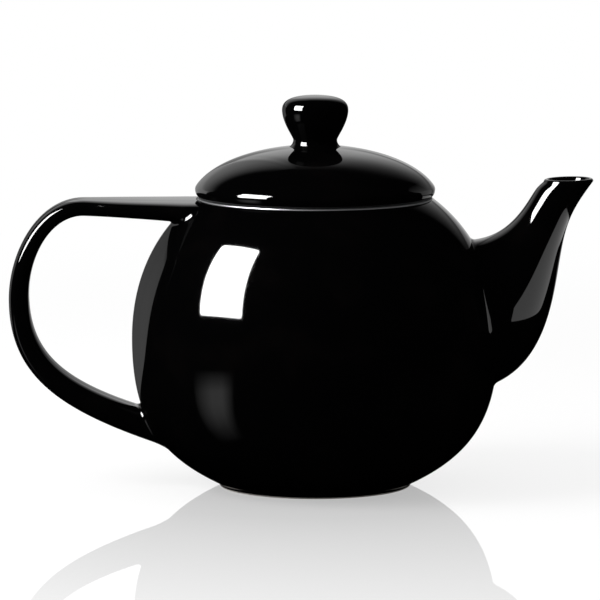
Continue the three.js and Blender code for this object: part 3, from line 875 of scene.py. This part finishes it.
floor_mesh = bpy.data.meshes.new("floor")
sides = ((-1, -1), (1, -1), (1, 1), (-1, 1))
floor_mesh.from_pydata([(x * FLOOR_REACH, y * FLOOR_REACH, 0) for x, y in sides], [], [(0, 1, 2, 3)])
floor = bpy.data.objects.new("floor", floor_mesh)
bpy.context.collection.objects.link(floor)
floor_material = bpy.data.materials.new("floor_white")
paper = Finish(floor_material)
radius = paper.place()[2]
seen = paper.node("LightPath", output="Is Camera Ray")
far = radius.ramp(NEAR_FLOOR, FAR_FLOOR)
pale = paper.mix(far, FLOOR_SHADE, (0, 0, 0, 1))
matt = paper.node("BsdfDiffuse", inputs={"Color": paper.mix(seen, FLOOR_BOUNCE, pale)})
glow = seen * (far * (1 - FLOOR_GLOW) + FLOOR_GLOW)
lit = paper.node("Emission", inputs={"Color": (1, 1, 1, 1), "Strength": glow})
white = paper.node("AddShader", inputs={0: matt, 1: lit})
mirror = paper.node("BsdfGlossy", {"distribution": "GGX"}, {"Color": (1, 1, 1, 1), "Roughness": 0.0})
surface = paper.node("MixShader", inputs={0: radius.graded(MIRROR_FADE) * seen, 1: white, 2: mirror})
paper.node("OutputMaterial", inputs={"Surface": surface})
floor_mesh.materials.append(floor_material)
floor.visible_glossy = False


# Studio: one large softbox high on the left, and an even fill. What is glossy mirrors a dark room
# with a pale glow behind the pot, a dim strip at its left and the softbox's patch on the table, and
# each see-through card shows only on the pieces that are named for it.
SOFTBOX = [(-0.73, 0.04, 0.82), (-0.50, -0.33, 0.93), (-0.75, -0.72, 0.30), (-1.01, -0.24, 0.25)]
SOFTBOX_LIT = 6
SOFTBOX_MIRRORED = 26
SOFTBOX_CORNER = 0.06  # the share of each side that its round corners take
MIRRORED_LOSS = 0.99  # the share of their light that lamps lose in a mirror image of a mirror image
FILL = 0.5


def rounded(corners, share):
    """An outline with its corners rounded."""
    points = [Vector(corner) for corner in corners]
    outline = []
    for i, corner in enumerate(points):
        before = corner.lerp(points[i - 1], share)
        after = corner.lerp(points[(i + 1) % len(points)], share)
        for t in (0, 0.2, 0.4, 0.6, 0.8, 1):
            outline.append(before.lerp(corner, t).lerp(corner.lerp(after, t), t))
    return outline


def once(studio, depth):
    """1 for a ray of that depth, straight from the object, and little for one mirrored more often."""
    return 1 - (studio.node("LightPath", output="Ray Depth") > depth + 0.5) * MIRRORED_LOSS


outline = rounded(SOFTBOX, SOFTBOX_CORNER)
softbox_mesh = bpy.data.meshes.new("softbox")
softbox_mesh.from_pydata(outline, [], [range(len(outline))])
softbox = bpy.data.objects.new("softbox", softbox_mesh)
bpy.context.collection.objects.link(softbox)
softbox_material = bpy.data.materials.new("softbox")
light = Finish(softbox_material)
gloss = light.node("LightPath", output="Is Glossy Ray")
level = SOFTBOX_LIT + gloss * (once(light, 1) * SOFTBOX_MIRRORED - SOFTBOX_LIT)
lamp = light.node("Emission", inputs={"Strength": level})
light.node("OutputMaterial", inputs={"Surface": lamp})
softbox_mesh.materials.append(softbox_material)
softbox.visible_camera = False
softbox.visible_shadow = False


def card(name, outline, level, mirrored_by, again=False):
    """A dim see-through card that only the gloss of some pieces shows, at a level for each place.

    A ray that goes through one card shows no other behind it, so a piece's cards lie side by side.
    """
    corners, faces = outline
    mesh = bpy.data.meshes.new(name)
    mesh.from_pydata(corners, [], faces)
    panel = bpy.data.objects.new(name, mesh)
    bpy.context.collection.objects.link(panel)
    material = bpy.data.materials.new(name)
    dim = Finish(material)
    spot = dim.node("TexCoord", output="Object")
    gloss = dim.node("LightPath", output="Is Glossy Ray")
    gloss = gloss - dim.node("LightPath", output="Is Singular Ray")
    strength = level(dim, spot) * gloss
    if not again:
        strength = strength * once(dim, 1)
    shine = dim.node("Emission", inputs={"Strength": strength})
    clear = dim.node("BsdfTransparent", inputs={"Color": (1, 1, 1, 1)})
    surface = dim.node("AddShader", inputs={0: clear, 1: shine})
    dim.node("OutputMaterial", inputs={"Surface": surface})
    mesh.materials.append(material)
    panel.visible_camera = False
    panel.visible_diffuse = False
    panel.visible_shadow = False
    receivers = bpy.data.collections.new(name)
    for piece in mirrored_by:
        receivers.objects.link(piece)
    panel.light_linking.receiver_collection = receivers


def curved(distance, turns, rises, steps=18):
    """Part of a ball round the pot, between two azimuths and two elevations in degrees."""
    corners, faces = [], []
    for i in range(steps + 1):
        rise = math.radians(rises[0] + (rises[1] - rises[0]) * i / steps)
        for j in range(steps + 1):
            turn = math.radians(turns[0] + (turns[1] - turns[0]) * j / steps)
            flat = distance * math.cos(rise)
            corners.append((flat * math.sin(turn), flat * math.cos(turn), distance * math.sin(rise)))
    for i in range(steps):
        for j in range(steps):
            here = i * (steps + 1) + j
            faces.append((here, here + 1, here + steps + 2, here + steps + 1))
    return corners, faces


def rising(way, levels):
    """Levels graded along a direction."""
    def level(finish, spot):
        dot = finish.node("VectorMath", {"operation": "DOT_PRODUCT"}, {0: spot, 1: way}, output="Value")
        return dot.graded(levels)
    return level


CARD_AWAY = 3  # metres from the pot
SURROUND_AWAY = 4
DROP = (  # y and z of the card that the spout mirrors as a drop
    (-0.086, 0.064), (-0.079, 0.0395), (-0.003, 0.0595),
    (0.007, 0.088), (0.035, 0.0935), (-0.016, 0.1005),
)
DROP_AWAY = 0.12
DROP_CORNER = 0.12
DROP_LEVEL = 0.8


def left_glow(finish, spot):
    """The pale glow on the left, faded out where the backdrop's own glow begins."""
    levels = [(1.4, 0.36), (1.9, 0.36), (2.2, 0.28), (2.45, 0.14), (2.6, 0.03), (2.7, 0)]
    upwards = rising((-0.55, 0, 1), levels)
    beside = rising((-1, -0.157, 0), [(-0.08, 0), (0.08, 1)])
    return upwards(finish, spot) * beside(finish, spot)


right_level = rising((1, 0, -0.9), [(0.2, 0), (1.4, 0.22), (3, 0.22)])
shoulder_level = rising((1, 0, 0), [(0.15, 0), (0.32, 0.35), (0.6, 0.35), (1.5, 0.05)])
low_level = rising((0, 0, 1), [(-0.6, 0.25), (0.9, 0.4)])
under_level = rising((0, 0, 1), [(-2.2, 0.2), (-0.6, 0.4)])
card("left_glow", curved(CARD_AWAY, (-52, -7), (16, 52)), left_glow, [lid, knob, spout, strap])
card("right_glow", curved(CARD_AWAY, (8, 58), (11, 36)), right_level, [lid])
card("side_glow", curved(CARD_AWAY, (30, 58), (-8, 11)), right_level, [lid])
card("shoulder_glow", curved(CARD_AWAY, (3, 30), (-8, 11)), shoulder_level, [pot, lid, spout])
card("low_glow", curved(CARD_AWAY, (-52, -9), (-10, 16)), low_level, [lid])
card("under_glow", curved(CARD_AWAY, (-60, 60), (-45, -11)), under_level, [lid])
drop = rounded([(DROP_AWAY, y, z) for y, z in DROP], DROP_CORNER)
card("spout_card", (drop, [range(len(drop))]), lambda finish, spot: DROP_LEVEL, [spout])


def steel_level(finish, spot):
    """The steel's surround: brightest low on the left, and dim overhead."""
    levels = [(-4.2, 0.14), (-1.2, 0.12), (0.5, 0.18), (1.2, 0.25), (2.4, 0.5), (3, 0.8), (4.2, 0.95)]
    beside = rising((-1, -0.3, 0), levels)
    overhead = rising((0, 0, 1), [(0.4, 1), (2, 0.4)])
    return beside(finish, spot) * overhead(finish, spot)


steel = [basket_rim, sleeve, base_ring, disc]
card("steel_surround", curved(SURROUND_AWAY, (-180, 180), (-90, 90)), steel_level, steel, again=True)

HORIZON_LOW = -11  # degrees at which the backdrop's glow ends below, and how much higher at the side
HORIZON_RISE = 28
TABLE_SLANT = 0.3  # degrees that the softbox's patch on the table moves sideways for one upwards
world = bpy.data.worlds.new("studio")
bpy.context.scene.world = world
room = Finish(world)
kinds = ("Camera", "Singular", "Transmission")
rays = [room.node("LightPath", output="Is " + kind + " Ray") for kind in kinds]
clear = rays[0].math("MAXIMUM", rays[0], rays[0].math("MAXIMUM", rays[1], rays[2]))
mirrored = room.node("LightPath", output="Is Glossy Ray")
towards = room.node("TexCoord", output="Generated")
east, north, up = (room.node("SeparateXYZ", inputs={0: towards}, output=axis) for axis in "XYZ")
azimuth = east.math("ARCTAN2", east, north) * math.degrees(1)
elevation = up.math("ARCSINE", up) * math.degrees(1)
behind = azimuth.graded([
    (-10, 0), (-8, 0.6), (-5, 0.76), (5, 0.72), (10, 0.5), (15, 0.33), (20, 0.2), (28, 0.08), (36, 0),
])
behind = behind * elevation.graded([
    (24, 1), (28, 0.85), (32, 0.65), (36, 0.47), (40, 0.32), (44, 0.17), (48, 0.05), (54, 0),
])
horizon = azimuth.graded([(-16, 1), (-11, 0), (5, 0), (45, 0.5)]) * HORIZON_RISE + HORIZON_LOW
behind = behind * (elevation - horizon).ramp(0, 4)
dimmed = azimuth.graded([
    (-8, 0.35), (-4, 0.42), (-1.5, 0.8), (1.5, 0.85), (4, 0.5), (6, 0.4), (20, 0.4),
])
behind = behind * (dimmed + (1 - dimmed) * elevation.ramp(10, 15))
strip = azimuth.graded([(-53, 0), (-52, 0.3), (-32, 0.15), (-12, 0.06), (-8, 0)])
strip = strip * elevation.graded([(-15, 0), (-13, 1), (14, 1), (18, 0)])
slanted = azimuth + (elevation + 20) * TABLE_SLANT
table = slanted.graded([(-126, 0), (-117, 1), (-109, 0.95), (-100, 0.4), (-94, 0)])
table = table * elevation.graded([
    (-52, 0), (-42, 0.12), (-36, 0.25), (-30, 0.4), (-24, 0.5), (-19, 0.5), (-15, 0.25), (-11, 0),
])
reflected = (behind + strip + table) * once(room, 2)
strength = clear + (1 - clear) * (mirrored * reflected + (1 - mirrored) * FILL)
sky = room.node("Background", inputs={"Color": (1, 1, 1, 1), "Strength": strength})
room.node("OutputWorld", inputs={"Surface": sky})


# Camera: a long lens two metres off, a little above the lid, square to the spout and the handle.
CAMERA_RISE = math.radians(7)
CAMERA_AWAY = 2.0
CAMERA_AIM = Vector((-0.0004, 0, 0.0723))
CAMERA_LENS = 309
camera_data = bpy.data.cameras.new("camera")
camera_data.lens = CAMERA_LENS
camera = bpy.data.objects.new("camera", camera_data)
bpy.context.collection.objects.link(camera)
camera.location = CAMERA_AIM + CAMERA_AWAY * Vector((0, -math.cos(CAMERA_RISE), math.sin(CAMERA_RISE)))
camera.rotation_euler = (CAMERA_AIM - camera.location).to_track_quat("-Z", "Y").to_euler()
bpy.context.scene.camera = camera
bpy.context.scene.view_settings.view_transform = "Standard"
